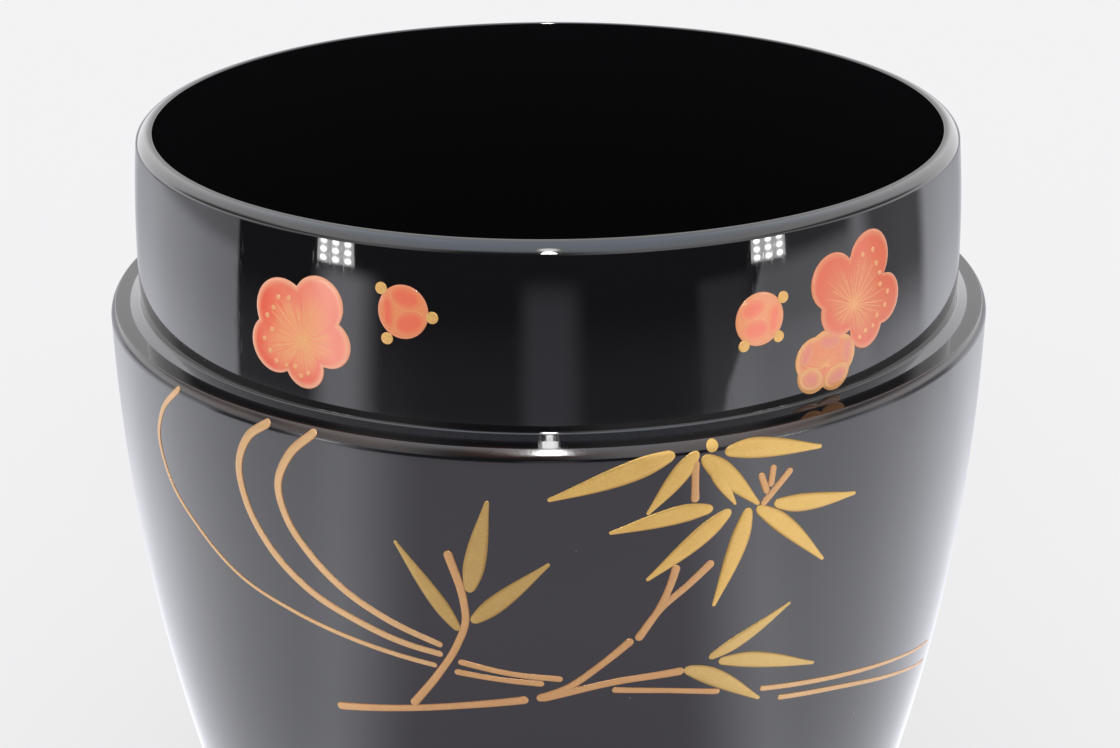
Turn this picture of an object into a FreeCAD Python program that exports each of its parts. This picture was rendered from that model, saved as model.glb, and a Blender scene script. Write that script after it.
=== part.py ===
import FreeCAD
import Part
import math
import os

# Tea caddy of the jujube shape: a turned vessel with a standing collar, and the turned lid that slips over it.
# Millimetres. The origin is the centre of the foot, +Z is up, and the painted front looks along -Y.

# Vessel, outside
body_diameter = 66.0  # widest, at the ledge
ledge_height = 46.0  # from the foot to the ledge that the lid sits on
side_arc_radius = 158.0  # upright at the ledge, drawing in towards the heel
heel_radius = 9.5
ledge_roll_radius = 2.7  # the side's top rolls in to the ledge and meets it in a crisp edge
ledge_roll_height = 1.35  # where the roll starts, below the ledge
foot_ring_width = 5.0
foot_hollow_depth = 0.6

# Standing collar, stepped in from the side by the ledge
ledge_width = 2.2
collar_height = 12.9  # from the ledge to the lip
collar_land_height = 2.5  # upright, to guide the lid
collar_lean = 0.55  # how far the collar draws in from its land to the lip
collar_fillet_radius = 0.5
lip_wall = 1.0
lip_crest_width = 0.1  # the level top between the lip's two rounded edges

# Well, the space for the tea
floor_thickness = 4.2
well_corner_radius = 6.0

# Lid
lid_headroom = 9.1  # from the lip to the top of the crown, when closed
lid_side_arc_radius = 130.0  # upright at the rim
lid_shoulder_radius = 10.0
lid_crown_radius = 130.0
lid_ceiling_thickness = 2.8
lid_inner_shoulder_radius = 5.0
lid_rim_arris_radius = 0.5
lid_clearance = 0.15  # radial, between the lid's upright bore and the collar's land
lid_fillet_clearance = 0.2  # more relief inside the rim than the collar's fillet needs

# Where the lid is set down, behind the vessel on the same surface
lid_parking_gap = 14.0

# Sizes that the vessel and the lid share
body_radius = body_diameter / 2
collar_radius = body_radius - ledge_width
lid_height = collar_height + lid_headroom

AXIS = FreeCAD.Vector(0, 0, 1)
CENTRE = FreeCAD.Vector(0, 0, 0)


def point(radius, height):
    return FreeCAD.Vector(radius, 0, height)


def distance(a, b):
    return math.hypot(b[0] - a[0], b[1] - a[1])


def out_along(start, through, reach):
    """The point at the given reach from start, on the line from start through another point."""
    scale = reach / distance(start, through)
    return (start[0] + (through[0] - start[0]) * scale, start[1] + (through[1] - start[1]) * scale)


def arc(centre, radius, start, end):
    """The shorter arc from start to end about centre."""
    middle = ((start[0] + end[0]) / 2, (start[1] + end[1]) / 2)
    crest = out_along(centre, middle, radius)
    return Part.Arc(point(*start), point(*crest), point(*end)).toShape()


def line(start, end):
    return Part.makeLine(point(*start), point(*end))


def corner_on_plane(wall_centre, wall_radius, corner_radius, plane, inward):
    """A round inside a curved wall that also touches a level plane: its centre, and where it touches each.

    inward is +1 where the corner lies above the plane and -1 where it lies below.
    """
    height = plane + inward * corner_radius
    rise = height - wall_centre[1]
    centre = (wall_centre[0] + math.sqrt((wall_radius - corner_radius) ** 2 - rise**2), height)
    return centre, out_along(wall_centre, centre, wall_radius), (centre[0], plane)


def shoulder(wall_centre, wall_radius, crown_centre, crown_radius, round_radius):
    """A round inside both a curved wall and a crown: its centre, and where it touches each."""
    to_wall = wall_radius - round_radius
    to_crown = crown_radius - round_radius
    apart = distance(wall_centre, crown_centre)
    along = (to_wall**2 - to_crown**2 + apart**2) / (2 * apart)
    across = math.sqrt(to_wall**2 - along**2)
    unit = ((crown_centre[0] - wall_centre[0]) / apart, (crown_centre[1] - wall_centre[1]) / apart)
    centre = (
        wall_centre[0] + unit[0] * along - unit[1] * across,
        wall_centre[1] + unit[1] * along + unit[0] * across,
    )
    return centre, out_along(wall_centre, centre, wall_radius), out_along(crown_centre, centre, crown_radius)


def turned(edges):
    """The solid of revolution of a closed half profile that starts and ends on the axis."""
    profile = Part.Face(Part.Wire(edges))
    return profile.revolve(CENTRE, AXIS, 360)


def make_body():
    lip_radius = collar_radius - collar_lean
    well_radius = lip_radius - lip_wall
    lip_edge_radius = (lip_wall - lip_crest_width) / 2
    lip_height = ledge_height + collar_height
    land_top = ledge_height + collar_land_height

    # One centre serves the side and the well, so the wall is as thick all the way down.
    side_centre = (body_radius - side_arc_radius, ledge_height)
    well_arc_radius = well_radius - side_centre[0]

    heel_centre, heel_top, heel_foot = corner_on_plane(side_centre, side_arc_radius, heel_radius, 0, 1)

    # The roll touches the side at its start.
    roll_drop = ledge_roll_height / side_arc_radius
    roll_reach = math.sqrt(1 - roll_drop**2)
    roll_start = (side_centre[0] + side_arc_radius * roll_reach, ledge_height - ledge_roll_height)
    roll_centre = out_along(roll_start, side_centre, ledge_roll_radius)
    roll_rise = ledge_height - roll_centre[1]
    roll_end = (roll_centre[0] + math.sqrt(ledge_roll_radius**2 - roll_rise**2), ledge_height)

    # The collar leans in from the top of its land, on an arc that would reach the lip's outer corner.
    rise = lip_height - land_top
    collar_arc_radius = (collar_lean**2 + rise**2) / (2 * collar_lean)
    collar_centre = (collar_radius - collar_arc_radius, land_top)
    lip_centre, lip_outer, lip_crest = corner_on_plane(
        collar_centre, collar_arc_radius, lip_edge_radius, lip_height, -1
    )
    lip_inner_centre = (well_radius + lip_edge_radius, lip_height - lip_edge_radius)
    lip_inner_crest = (lip_inner_centre[0], lip_height)
    lip_inner = (well_radius, lip_inner_centre[1])

    fillet_centre = (collar_radius + collar_fillet_radius, ledge_height + collar_fillet_radius)
    fillet_ledge = (fillet_centre[0], ledge_height)
    fillet_collar = (collar_radius, fillet_centre[1])
    land_end = (collar_radius, land_top)

    well_top = (well_radius, ledge_height)
    well_corner_centre, well_corner_top, well_corner_floor = corner_on_plane(
        side_centre, well_arc_radius, well_corner_radius, floor_thickness, 1
    )
    floor_middle = (0, floor_thickness)

    # The underside is dished, so the caddy stands on a ring.
    hollow_edge = (heel_foot[0] - foot_ring_width, 0)
    hollow_middle = (0, foot_hollow_depth)
    hollow_radius = (hollow_edge[0] ** 2 + foot_hollow_depth**2) / (2 * foot_hollow_depth)
    hollow_centre = (0, foot_hollow_depth - hollow_radius)

    return turned(
        [
            arc(hollow_centre, hollow_radius, hollow_middle, hollow_edge),
            line(hollow_edge, heel_foot),
            arc(heel_centre, heel_radius, heel_foot, heel_top),
            arc(side_centre, side_arc_radius, heel_top, roll_start),
            arc(roll_centre, ledge_roll_radius, roll_start, roll_end),
            line(roll_end, fillet_ledge),
            arc(fillet_centre, collar_fillet_radius, fillet_ledge, fillet_collar),
            line(fillet_collar, land_end),
            arc(collar_centre, collar_arc_radius, land_end, lip_outer),
            arc(lip_centre, lip_edge_radius, lip_outer, lip_crest),
            line(lip_crest, lip_inner_crest),
            arc(lip_inner_centre, lip_edge_radius, lip_inner_crest, lip_inner),
            line(lip_inner, well_top),
            arc(side_centre, well_arc_radius, well_top, well_corner_top),
            arc(well_corner_centre, well_corner_radius, well_corner_top, well_corner_floor),
            line(well_corner_floor, floor_middle),
            line(floor_middle, hollow_middle),
        ]
    )


def make_lid():
    rim_radius = body_radius  # flush with the side below it
    bore_radius = collar_radius + lid_clearance
    rim_relief = collar_fillet_radius + lid_fillet_clearance

    # One centre serves the crown and the ceiling.
    wall_centre = (rim_radius - lid_side_arc_radius, 0)
    crown_centre = (0, lid_height - lid_crown_radius)
    ceiling_radius = lid_crown_radius - lid_ceiling_thickness

    arris_centre, arris_side, arris_rim = corner_on_plane(
        wall_centre, lid_side_arc_radius, lid_rim_arris_radius, 0, 1
    )
    shoulder_centre, shoulder_wall, shoulder_crown = shoulder(
        wall_centre, lid_side_arc_radius, crown_centre, lid_crown_radius, lid_shoulder_radius
    )

    # The bore is upright, so its round to the ceiling stands in from it by its own radius.
    inner_reach = bore_radius - lid_inner_shoulder_radius
    inner_rise = math.sqrt((ceiling_radius - lid_inner_shoulder_radius) ** 2 - inner_reach**2)
    inner_centre = (inner_reach, crown_centre[1] + inner_rise)
    inner_wall = (bore_radius, inner_centre[1])
    inner_ceiling = out_along(crown_centre, inner_centre, ceiling_radius)
    crown_middle = (0, lid_height)
    ceiling_middle = (0, lid_height - lid_ceiling_thickness)

    # A chamfer inside the rim passes over the fillet at the collar's base.
    relief_top = (bore_radius, rim_relief)
    relief_rim = (bore_radius + rim_relief, 0)

    return turned(
        [
            line(ceiling_middle, crown_middle),
            arc(crown_centre, lid_crown_radius, crown_middle, shoulder_crown),
            arc(shoulder_centre, lid_shoulder_radius, shoulder_crown, shoulder_wall),
            arc(wall_centre, lid_side_arc_radius, shoulder_wall, arris_side),
            arc(arris_centre, lid_rim_arris_radius, arris_side, arris_rim),
            line(arris_rim, relief_rim),
            line(relief_rim, relief_top),
            line(relief_top, inner_wall),
            arc(inner_centre, lid_inner_shoulder_radius, inner_wall, inner_ceiling),
            arc(crown_centre, ceiling_radius, inner_ceiling, ceiling_middle),
        ]
    )


def main():
    body = make_body()
    lid = make_lid()
    lid.translate(FreeCAD.Vector(0, body_diameter + lid_parking_gap, 0))

    os.makedirs("parts", exist_ok=True)
    body.exportStep("parts/body.step")
    lid.exportStep("parts/lid.step")


main()
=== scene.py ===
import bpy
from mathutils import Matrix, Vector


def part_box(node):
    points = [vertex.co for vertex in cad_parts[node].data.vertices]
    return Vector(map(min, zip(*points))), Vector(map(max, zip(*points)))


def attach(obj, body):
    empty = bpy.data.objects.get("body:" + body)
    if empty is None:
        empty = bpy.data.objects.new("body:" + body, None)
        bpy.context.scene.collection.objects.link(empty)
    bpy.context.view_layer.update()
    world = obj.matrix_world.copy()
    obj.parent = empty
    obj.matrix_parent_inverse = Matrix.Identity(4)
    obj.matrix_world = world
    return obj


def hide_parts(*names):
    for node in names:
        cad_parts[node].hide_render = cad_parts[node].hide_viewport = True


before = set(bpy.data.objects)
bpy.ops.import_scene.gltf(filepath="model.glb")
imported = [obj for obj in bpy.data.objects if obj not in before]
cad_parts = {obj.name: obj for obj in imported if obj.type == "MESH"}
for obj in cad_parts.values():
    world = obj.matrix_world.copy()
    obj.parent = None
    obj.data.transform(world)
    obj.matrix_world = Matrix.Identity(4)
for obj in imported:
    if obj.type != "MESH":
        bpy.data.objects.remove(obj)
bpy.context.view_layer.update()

import math
import bpy
import numpy as np
from mathutils import Matrix

mm = 0.001
print("frame loaded:", ", ".join(sorted(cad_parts)))


# Meshes: every piece is a skin of rings between two poles, so it is closed.

def meshPiece(name, points, faces, tags, material):
    # a mesh whose own attribute holds three values at each point
    mesh = bpy.data.meshes.new(name)
    mesh.from_pydata(points, [], faces)
    paint = mesh.attributes.new("paint", "FLOAT_VECTOR", "POINT")
    paint.data.foreach_set("vector", tags.astype(np.float32).ravel())
    mesh.materials.append(material)
    piece = bpy.data.objects.new(name, mesh)
    bpy.context.scene.collection.objects.link(piece)
    return piece


def skinPiece(name, shells, body, material):
    # rings run from the first pole to the last; each ring joins the next by four-sided faces,
    # and a fan closes each pole; a shell whose signed volume is negative is turned round
    points, faces, tags, start = [], [], [], 0
    for shell in shells:
        rings = shell["rings"]
        n, m = rings.shape[:2]
        xyz = np.vstack([shell["first"], rings.reshape(-1, 3), shell["last"]])
        i, j = np.meshgrid(np.arange(n - 1), np.arange(m), indexing="ij")
        k = (j + 1) % m
        row = 1 + i * m
        quads = np.stack([row + j, row + k, row + m + k, row + m + j], 2).reshape(-1, 4)
        around = np.arange(m)
        after = (around + 1) % m
        end = 1 + n * m
        firstFan = np.stack([np.zeros(m, int), 1 + after, 1 + around], 1)
        lastFan = np.stack([np.full(m, end), end - m + around, end - m + after], 1)
        corners = np.vstack([firstFan, lastFan, quads[:, :3], quads[:, [0, 2, 3]]])
        a, b, c = (xyz[corners[:, s]] for s in range(3))
        if np.einsum("ij,ij->", a, np.cross(b, c)) < 0:
            quads, firstFan, lastFan = quads[:, ::-1], firstFan[:, ::-1], lastFan[:, ::-1]
        for part in (quads, firstFan, lastFan):
            faces += (part + start).tolist()
        points.append(xyz)
        tags.append(shell.get("tags", np.zeros((len(xyz), 3))))
        start += len(xyz)
    piece = meshPiece(name, np.vstack(points), faces, np.vstack(tags), material)
    piece.data.polygons.foreach_set("use_smooth", np.ones(len(faces), bool))
    piece.data.update()
    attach(piece, body)
    return piece


def goldPiece(name, shells, gold):
    return skinPiece(name, shells, "caddy", gold)


def coralPiece(name, shells, coral):
    return skinPiece(name, shells, "caddy", coral)


def spread(count):
    # shares from 0 to 1, closer together towards both ends
    return (1 - np.cos(np.pi * np.linspace(0, 1, count))) / 2


def lineRun(start, end, count):
    # a straight run of profile points
    t = spread(count)[:, None]
    return np.array(start) * (1 - t) + np.array(end) * t


def arcRun(centre, radius, start, end, count):
    # a run round the centre, from the start's bearing to the end's by the shorter way
    a = math.atan2(start[1] - centre[1], start[0] - centre[0])
    b = math.atan2(end[1] - centre[1], end[0] - centre[0])
    turn = (b - a + math.pi) % (2 * math.pi) - math.pi
    t = a + turn * spread(count)
    return np.stack([centre[0] + radius * np.cos(t), centre[1] + radius * np.sin(t)], 1)


def outAlong(start, through, reach):
    # the point at that reach from start, towards another point
    share = reach / math.dist(start, through)
    return (start[0] + (through[0] - start[0]) * share, start[1] + (through[1] - start[1]) * share)


def unit(degrees):
    # the outward direction of a profile whose normal rises by that angle
    return np.array([math.cos(math.radians(degrees)), math.sin(math.radians(degrees))])


def cornerOnPlane(wallCentre, wallRadius, cornerRadius, plane, inward):
    # a round inside a curved wall that touches a level plane: its centre and both touching points
    height = plane + inward * cornerRadius
    reach = wallRadius - cornerRadius
    centre = (wallCentre[0] + math.sqrt(reach ** 2 - (height - wallCentre[1]) ** 2), height)
    return centre, outAlong(wallCentre, centre, wallRadius), (centre[0], plane)


def shoulderRound(wallCentre, wallRadius, crownCentre, crownRadius, roundRadius):
    # a round inside both a curved wall and a crown: its centre and both touching points
    toWall = wallRadius - roundRadius
    toCrown = crownRadius - roundRadius
    apart = math.dist(wallCentre, crownCentre)
    along = (toWall ** 2 - toCrown ** 2 + apart ** 2) / (2 * apart)
    across = math.sqrt(toWall ** 2 - along ** 2)
    ux = (crownCentre[0] - wallCentre[0]) / apart
    uz = (crownCentre[1] - wallCentre[1]) / apart
    centre = (wallCentre[0] + ux * along - uz * across, wallCentre[1] + uz * along + ux * across)
    return centre, outAlong(wallCentre, centre, wallRadius), outAlong(crownCentre, centre, crownRadius)


def turnedShell(profile, middle, count):
    # each profile point (radius, height) goes round the axis: x = r sin a, y = middle - r cos a
    a = np.linspace(0, 2 * np.pi, count, endpoint=False)
    keep = profile[1:-1]
    r, z = keep[:, :1], keep[:, 1:]
    rings = np.stack([r * np.sin(a), middle - r * np.cos(a), z + 0 * a], 2) * mm
    first = np.array([[0, middle, profile[0, 1]]]) * mm
    last = np.array([[0, middle, profile[-1, 1]]]) * mm
    return {"first": first, "rings": rings, "last": last}


def joined(runs):
    # one profile from runs that share their end points
    return np.vstack([runs[0]] + [run[1:] for run in runs[1:]])


# Materials

def newMaterial(name):
    material = bpy.data.materials.new(name)
    material.use_nodes = True
    tree = material.node_tree
    return material, tree, tree.nodes["Principled BSDF"].inputs


def feed(tree, sockets, values):
    # links each socket to another, or sets a fixed value; a colour of three shares gets its alpha
    for key, value in values.items():
        if isinstance(value, bpy.types.NodeSocket):
            tree.links.new(value, sockets[key])
        else:
            sockets[key].default_value = (*value, 1) if isinstance(value, tuple) else value


def added(tree, kind, values=(), **settings):
    # the outputs of a new node; values go in by their order or, from a dictionary, by socket
    node = tree.nodes.new("ShaderNode" + kind)
    for name, setting in settings.items():
        setattr(node, name, setting)
    feed(tree, node.inputs, values if isinstance(values, dict) else dict(enumerate(values)))
    return node.outputs


def calc(tree, operation, *values):
    return added(tree, "Math", values, operation=operation)[0]


def times(tree, product, *others):
    for other in others:
        product = calc(tree, "MULTIPLY", product, other)
    return product


def lengthOf(tree, x, y):
    # the square root of x * x + y * y
    return calc(tree, "SQRT", calc(tree, "ADD", times(tree, x, x), times(tree, y, y)))


def ease(tree, value, low, high, to=1.0, since=0.0):
    # a smooth step between two values
    return added(tree, "MapRange", (value, low, high, since, to), interpolation_type="SMOOTHSTEP")[0]


def between(tree, value, low, full, hold, gone):
    # rises from low to full and falls from hold to gone
    return times(tree, ease(tree, value, low, full), ease(tree, value, hold, gone, 0.0, 1.0))


def lerp(tree, share, first, second):
    # first + share * (second - first)
    return added(tree, "Mix", {0: share, 2: first, 3: second})[0]


def blendColour(tree, share, first, second):
    return added(tree, "Mix", {0: share, 6: first, 7: second}, data_type="RGBA")[2]


def splitXYZ(tree, vector):
    return added(tree, "SeparateXYZ", [vector])


def joinXYZ(tree, *values):
    return added(tree, "CombineXYZ", values)[0]


def ownPlace(tree):
    return added(tree, "TexCoord")["Object"]


def ownPaint(tree):
    # the three values of the piece's own attribute
    return splitXYZ(tree, added(tree, "Attribute", attribute_name="paint")["Vector"])


def noise(tree, vector, scale, detail=2.0, roughness=0.5):
    values = {"Vector": vector, "Scale": scale, "Detail": detail, "Roughness": roughness}
    return added(tree, "TexNoise", values)["Fac"]


def bump(tree, height, strength, distance, before=None):
    values = {"Height": height, "Strength": strength, "Distance": distance}
    if before is not None:
        values["Normal"] = before
    return added(tree, "Bump", values)["Normal"]


lacquer = {
    "black": (0.0068, 0.0064, 0.0072),
    "amber": (0.036, 0.016, 0.011),  # brown coat that shows through on the arrises
    "dust": (0.30, 0.29, 0.28),
    "paintedSheen": (0.022, 0.022, 0.027),  # painted sheen: pale bluish colour in the corner below the collar, standing in for reflected light
    "index": 1.6,
    "rough": 0.022,
    "haze": 0.025,  # what is added to the roughness: clouds, then each mark below
    "marks": {"hair": 0.06, "worn": 0.14, "dull": 0.16, "speck": 0.4},
}


def lacquerMaterial(name, middle, zones):
    # polished black with a brown arris, hairlines where the lid rubs, a little painted sheen below the
    # collar, and a little dust
    material, tree, sockets = newMaterial(name)
    offAxis = {"Vector": ownPlace(tree), "Location": [0, -middle * mm, 0]}
    spot = added(tree, "Mapping", offAxis)["Vector"]
    x, y, z = splitXYZ(tree, spot)
    radius = lengthOf(tree, x, y)
    facing = calc(tree, "DIVIDE", y, radius)  # -1 at the front
    low, full, hold, gone, least = (size * mm for size in zones["arris"])
    outer = ease(tree, radius, least, least + 0.3 * mm)
    patches = ease(tree, noise(tree, spot, 160, 3), 0.3, 0.65, 0.9, 0.25)
    worn = times(tree, between(tree, z, low, full, hold, gone), outer, patches,
                 ease(tree, facing, -0.82, -0.5, 0.25, 1.0))
    dull = times(tree, between(tree, z, low - 0.35 * mm, full - 0.3 * mm, hold, gone), outer,
                 ease(tree, facing, -0.985, -0.93))

    # rubbing: fine lines up and down, from noise that is quick round the axis and slow along it
    bearing = calc(tree, "ARCTAN2", x, y)
    turn = joinXYZ(tree, times(tree, bearing, 40.0), times(tree, z, 60.0))
    start, end = (height * mm for height in zones["rubbed"])
    hair = times(tree, ease(tree, noise(tree, turn, 9, 4, 0.7), 0.58, 0.75),
                 between(tree, z, start - 1.5 * mm, start, end, end + 1.5 * mm))

    cells = added(tree, "TexVoronoi", {"Vector": spot, "Scale": 230})["Distance"]
    few = ease(tree, noise(tree, spot, 75, 1), 0.56, 0.6)
    speck = times(tree, ease(tree, cells, 0.022, 0.012), few)

    # painted sheen: a pale bluish colour in the corner below the collar, standing in for reflected light
    near, full, gone, top = (size * mm for size in zones["paintedSheen"])
    paintedSheenMask = times(tree, between(tree, radius, near, near + 0.1 * mm, full, gone),
                  between(tree, z, top - 0.5 * mm, top - 0.4 * mm, top - 0.1 * mm, top),
                  ease(tree, noise(tree, turn, 5, 3), 0.3, 0.7, 1.0, 0.5))
    colour = blendColour(tree, paintedSheenMask, lacquer["black"], lacquer["paintedSheen"])
    colour = blendColour(tree, worn, colour, lacquer["amber"])
    colour = blendColour(tree, times(tree, speck, 0.8), colour, lacquer["dust"])
    rough = calc(tree, "MULTIPLY_ADD", noise(tree, spot, 45, 3), lacquer["haze"], lacquer["rough"])
    for mark, gain in zip((hair, worn, dull, speck), lacquer["marks"].values()):
        rough = calc(tree, "MULTIPLY_ADD", mark, gain, rough)
    wave = bump(tree, noise(tree, spot, 55, 1), 0.02, 0.001)
    feed(tree, sockets, {
        "Base Color": colour, "Roughness": rough, "IOR": lacquer["index"],
        "Normal": bump(tree, hair, 0.02, 0.0001, wave)})
    return material


def goldMaterial(name, tone, pale, edge, metal, rough):
    # gold powder bedded in lacquer: grainy tone, and a darker edge from the piece's own across share
    material, tree, sockets = newMaterial(name)
    place = ownPlace(tree)
    across = calc(tree, "ABSOLUTE", ownPaint(tree)[1])
    grain = noise(tree, place, 7000, 2, 0.6)
    cloud = noise(tree, place, 700, 3, 0.6)
    mixed = calc(tree, "MULTIPLY_ADD", grain, 0.6, times(tree, cloud, 0.4))
    colour = blendColour(tree, ease(tree, mixed, 0.3, 0.7), tone, pale)
    rim = times(tree, ease(tree, across, 0.62, 0.98), 0.75)
    feed(tree, sockets, {
        "Base Color": blendColour(tree, rim, colour, edge), "Metallic": metal, "IOR": 1.5,
        "Roughness": calc(tree, "MULTIPLY_ADD", grain, 0.22, rough - 0.11),
        "Normal": bump(tree, mixed, 0.25, 0.00003)})
    return material


def petalMaterial(name, heart, inner, outer, hair, rim, rimIn=0.6, rimOut=0.1, glow=None):
    # coral that deepens outwards, with fine pale hairs that spread from the heart; rimIn and rimOut are
    # the mm inside the outline where the pale rim starts and is full; glow is a painted reflection: a
    # lighter colour, the bearing of the side it lies on and its share; the piece's own attribute gives
    # the place (mm) and the share of the way out
    material, tree, sockets = newMaterial(name)
    place = ownPlace(tree)
    px, pz, out = ownPaint(tree)
    grain = noise(tree, place, 5200, 2, 0.6)
    cloud = noise(tree, place, 420, 3, 0.55)
    deep = ease(tree, calc(tree, "MULTIPLY_ADD", cloud, 1.3, out), 0.9, 1.75)
    coral = blendColour(tree, deep, inner, outer)
    # painted reflection: the side of the flower that faces the glow's bearing is made lighter, standing
    # in for the light it mirrors
    if glow:
        paintedSheenColour, bearing, strength = glow
        aim = math.radians(bearing)
        paintedSheenSide = calc(tree, "MULTIPLY_ADD", px, math.cos(aim), times(tree, pz, math.sin(aim)))
        coral = blendColour(tree, times(tree, ease(tree, paintedSheenSide, -1.8, 3.2), strength), coral, paintedSheenColour)
    coral = blendColour(tree, ease(tree, out, 0.06, 0.2, 0.0, 1.0), coral, heart)
    here = lengthOf(tree, px, pz)
    ways = [calc(tree, "DIVIDE", share, here) for share in (px, pz)]
    strands = noise(tree, joinXYZ(tree, *ways, times(tree, out, 0.06)), 14, 3, 0.65)
    hairy = times(tree, ease(tree, strands, 0.36, 0.6), ease(tree, out, 0.42, 0.8, 0.0, 1.0), 0.88)
    coral = blendColour(tree, hairy, coral, hair)
    inside = calc(tree, "SUBTRACT", calc(tree, "DIVIDE", here, out), here)
    coral = blendColour(tree, ease(tree, inside, rimIn, rimOut), coral, rim)
    feed(tree, sockets, {
        "Base Color": coral, "Roughness": calc(tree, "MULTIPLY_ADD", grain, 0.12, 0.09), "IOR": 1.5,
        "Normal": bump(tree, grain, 0.03, 0.00003)})
    return material


# Vessel, in millimetres

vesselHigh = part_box("body")[1]
vessel = {
    "radius": vesselHigh.x / mm,  # widest, at the ledge
    "lipHeight": vesselHigh.z / mm,
    "ledgeHeight": 46.0,
    "sideArc": 158.0,
    "heel": 9.5,
    "rollRadius": 1.2,  # the side's top rolls in to the ledge
    "rollHeight": 0.85,
    "edge": 0.06,  # the edge between the roll and the ledge
    "ledgeWidth": 2.2,
    "ledgeFall": 0.04,  # the ledge falls outwards by this much
    "landHeight": 2.5,  # upright part of the collar
    "lean": 0.55,
    "fillet": 0.2,
    "cove": (0.75, 17),  # reach from the collar and slope, in degrees, below the fillet
    "wall": 1.15,
    "lipDrop": 0.08,  # below the drawn part's lip
    "bevel": (1.25, 38, 93),  # the lip's broad round: its radius, and where its normal starts and ends
    "lipInner": 0.1,
    "floor": 4.2,
    "wellCorner": 6.0,
    "footRing": 5.0,
    "footHollow": 0.6,
    "around": 256,
    # lacquer: heights where the arris starts to turn brown, is brown, is so up to, and is black again,
    # and its least radius; heights that the lid rubs; painted sheen, a pale colour standing in for
    # reflected light, full between two radii, gone at a third, and the height it stays below
    "arris": (45.4, 45.6, 45.99, 46.05, 32.3),
    "rubbed": (46.6, 56.5),
    "paintedSheen": (30.85, 31.5, 32.0, 46.3),
}
sideCentre = (vessel["radius"] - vessel["sideArc"], vessel["ledgeHeight"])
collarRadius = vessel["radius"] - vessel["ledgeWidth"]
landTop = vessel["ledgeHeight"] + vessel["landHeight"]
collarRise = vessel["lipHeight"] - landTop
collarArc = (vessel["lean"] ** 2 + collarRise ** 2) / (2 * vessel["lean"])
collarCentre = (collarRadius - collarArc, landTop)
rollReach = math.sqrt(vessel["sideArc"] ** 2 - vessel["rollHeight"] ** 2)
rollStart = (sideCentre[0] + rollReach, vessel["ledgeHeight"] - vessel["rollHeight"])
rollCentre = outAlong(rollStart, sideCentre, vessel["rollRadius"])
edgeCentre, edgeRoll, edgeLedge = cornerOnPlane(
    rollCentre, vessel["rollRadius"], vessel["edge"], vessel["ledgeHeight"], -1)


def vesselProfile():
    # up the outside from the foot to the lip, and down the well to the middle of its floor
    v = vessel
    ledge, lip = v["ledgeHeight"], v["lipHeight"] - v["lipDrop"]
    wellRadius = collarRadius - v["lean"] - v["wall"]
    wellArc = wellRadius - sideCentre[0]
    heelCentre, heelTop, heelFoot = cornerOnPlane(sideCentre, v["sideArc"], v["heel"], 0, 1)
    # the lip from inside: a small round, the broad round over the crest, and one touching the collar
    bevelArc, bevelLow, bevelHigh = v["bevel"][0], unit(v["bevel"][1]), unit(v["bevel"][2])
    innerCentre = np.array([wellRadius + v["lipInner"], lip - v["lipInner"]])
    bevelTop = innerCentre + v["lipInner"] * bevelHigh
    bevelCentre = bevelTop - bevelArc * bevelHigh
    bevelFoot = bevelCentre + bevelArc * bevelLow
    span = bevelFoot - np.array(collarCentre)
    lipEdge = (collarArc ** 2 - span @ span) / (2 * (collarArc - span @ bevelLow))
    lipCentre = bevelFoot - lipEdge * bevelLow
    lipOuter = outAlong(collarCentre, lipCentre, collarArc)
    # the collar's foot: a fillet that runs out into a gentle slope
    coveReach, coveSlope = v["cove"][0], math.radians(v["cove"][1])
    coveIn = v["fillet"] * (1 - math.sin(coveSlope))
    coveLow = ledge + v["ledgeFall"]
    coveTop = coveLow + (coveReach - coveIn) * math.tan(coveSlope)
    filletCentre = (collarRadius + v["fillet"], coveTop + v["fillet"] * math.cos(coveSlope))
    coveFoot, coveHead = (collarRadius + coveReach, coveLow), (collarRadius + coveIn, coveTop)
    cornerCentre, cornerTop, cornerFloor = cornerOnPlane(
        sideCentre, wellArc, v["wellCorner"], v["floor"], 1)
    hollowEdge = (heelFoot[0] - v["footRing"], 0)
    hollowArc = (hollowEdge[0] ** 2 + v["footHollow"] ** 2) / (2 * v["footHollow"])
    return joined([
        arcRun((0, v["footHollow"] - hollowArc), hollowArc, (0, v["footHollow"]), hollowEdge, 14),
        lineRun(hollowEdge, heelFoot, 7),
        arcRun(heelCentre, v["heel"], heelFoot, heelTop, 22),
        arcRun(sideCentre, v["sideArc"], heelTop, rollStart, 34),
        arcRun(rollCentre, v["rollRadius"], rollStart, edgeRoll, 20),
        arcRun(edgeCentre, v["edge"], edgeRoll, edgeLedge, 8),
        lineRun(edgeLedge, coveFoot, 11),
        lineRun(coveFoot, coveHead, 7),
        arcRun(filletCentre, v["fillet"], coveHead, (collarRadius, filletCentre[1]), 18),
        lineRun((collarRadius, filletCentre[1]), (collarRadius, landTop), 9),
        arcRun(collarCentre, collarArc, (collarRadius, landTop), lipOuter, 28),
        arcRun(lipCentre, lipEdge, lipOuter, bevelFoot, 10),
        arcRun(bevelCentre, bevelArc, bevelFoot, bevelTop, 18),
        arcRun(innerCentre, v["lipInner"], bevelTop, (wellRadius, innerCentre[1]), 16),
        lineRun((wellRadius, innerCentre[1]), (wellRadius, ledge), 12),
        arcRun(sideCentre, wellArc, (wellRadius, ledge), cornerTop, 24),
        arcRun(cornerCentre, v["wellCorner"], cornerTop, cornerFloor, 18),
        lineRun(cornerFloor, (0, v["floor"]), 12),
    ])


blackVessel = lacquerMaterial("blackLacquerVessel", 0, vessel)
vesselShell = turnedShell(vesselProfile(), 0, vessel["around"])
vesselPiece = skinPiece("vessel", [vesselShell], "caddy", blackVessel)
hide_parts("body")
print("vessel turned")


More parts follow.
